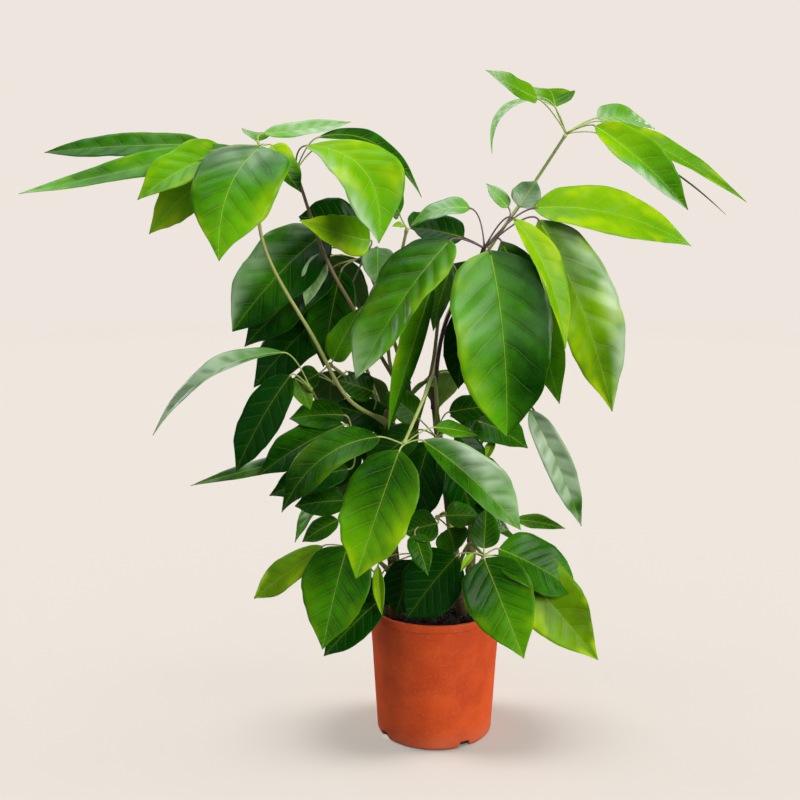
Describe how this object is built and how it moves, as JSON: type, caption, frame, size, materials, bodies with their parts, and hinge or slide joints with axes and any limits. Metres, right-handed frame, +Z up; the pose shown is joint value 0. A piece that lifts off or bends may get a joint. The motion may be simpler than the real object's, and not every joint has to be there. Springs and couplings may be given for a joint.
{
  "type": "potted umbrella plant",
  "caption": "Leafy indoor umbrella plant: drooping compound leaves on petioles from slender stems, standing in soil in a round tapered nursery pot.",
  "frame": {"origin": "middle of the pot's underside, which rests on the surface", "axes": "+Z up along the pot's axis; -Y is the front that faces the viewer; +X is to the viewer's right"},
  "size_m": [0.9557, 0.5607, 0.9207],
  "materials": {
    "pot_plastic": "satin terracotta-coloured",
    "soil": "loose dark grains",
    "stem": "smooth olive-brown bark",
    "leaf": "glossy above",
    "leaf_underside": "matt pale"
  },
  "bodies": {
    "root": {"pot": "pot_plastic", "soil": "soil", "stem_1": "stem", "stem_2": "stem", "stem_3": "stem", "stem_4": "stem", "stem_5": "stem", "frond_a": "leaf", "frond_b": "leaf", "frond_c": "leaf", "frond_d": "leaf", "frond_e": "leaf", "frond_f": "leaf", "frond_g": "leaf", "frond_h": "leaf", "frond_i": "leaf", "frond_j": "leaf", "frond_k": "leaf", "frond_t": "leaf", "frond_l": "leaf", "frond_m": "leaf", "frond_n": "leaf", "frond_p": "leaf", "frond_q": "leaf", "frond_r": "leaf", "frond_u": "leaf", "frond_v": "leaf", "frond_s": "leaf", "frond_back_1": "leaf", "frond_back_2": "leaf", "frond_back_3": "leaf", "frond_back_4": "leaf", "frond_back_5": "leaf", "frond_back_6": "leaf"}
  },
  "joints": []
}
